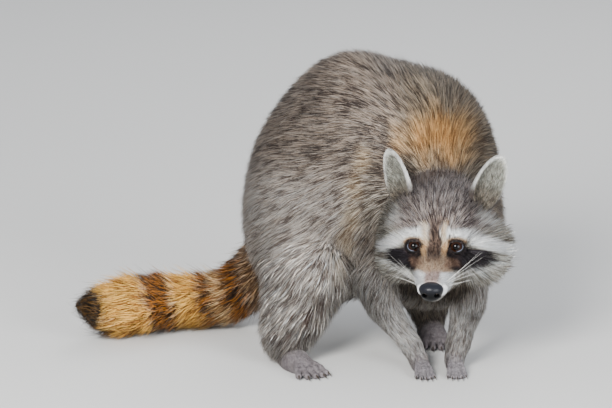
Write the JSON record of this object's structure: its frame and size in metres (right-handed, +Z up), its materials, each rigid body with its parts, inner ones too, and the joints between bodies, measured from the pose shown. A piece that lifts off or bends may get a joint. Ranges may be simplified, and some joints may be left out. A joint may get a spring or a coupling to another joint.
{
  "type": "raccoon figure",
  "caption": "Life-size still figure of a raccoon standing hunched with its head low and its ringed tail laid on the floor.",
  "frame": {"origin": "middle of the footprint's box, on the floor under the feet", "axes": "+Z up, the face looks along -Y, +X is on the animal's left, and the rump and the tail lie towards -X"},
  "size_m": [0.4606, 0.3288, 0.3075],
  "materials": {
    "fur_grey": "grizzled grey-brown coat, matt",
    "fur_face": "short grizzled face fur with a black mask and white bands",
    "fur_tail": "bushy ringed tail fur, tan and dark brown",
    "fur_ear": "short pale ear fur with white rims",
    "paw_skin": "dark bare skin and very short fur, matt",
    "nose_skin": "moist black nose leather, half gloss",
    "eye": "dark brown eye, wet gloss",
    "claw": "dark horn, satin"
  },
  "bodies": {
    "root": {"neck": "fur_grey", "trunk": "fur_grey", "head": "fur_face", "nose": "nose_skin", "eye_right": "eye", "ear_right": "fur_ear", "eye_left": "eye", "ear_left": "fur_ear", "foreleg_right_upper": "fur_grey", "foreleg_right_lower": "fur_grey", "foreleg_right_foot": "paw_skin", "foreleg_right_claw_1": "claw", "foreleg_right_claw_2": "claw", "foreleg_right_claw_3": "claw", "foreleg_right_claw_4": "claw", "foreleg_right_claw_5": "claw", "foreleg_left_upper": "fur_grey", "foreleg_left_lower": "fur_grey", "foreleg_left_foot": "paw_skin", "foreleg_left_claw_1": "claw", "foreleg_left_claw_2": "claw", "foreleg_left_claw_3": "claw", "foreleg_left_claw_4": "claw", "foreleg_left_claw_5": "claw", "hindleg_right_upper": "fur_grey", "hindleg_right_lower": "fur_grey", "hindleg_right_foot": "paw_skin", "hindleg_right_claw_1": "claw", "hindleg_right_claw_2": "claw", "hindleg_right_claw_3": "claw", "hindleg_right_claw_4": "claw", "hindleg_right_claw_5": "claw", "hindleg_left_upper": "fur_grey", "hindleg_left_lower": "fur_grey", "hindleg_left_foot": "paw_skin", "hindleg_left_claw_1": "claw", "hindleg_left_claw_2": "claw", "hindleg_left_claw_3": "claw", "hindleg_left_claw_4": "claw", "hindleg_left_claw_5": "claw", "tail_base": "fur_tail", "tail_end": "fur_tail"}
  },
  "joints": []
}
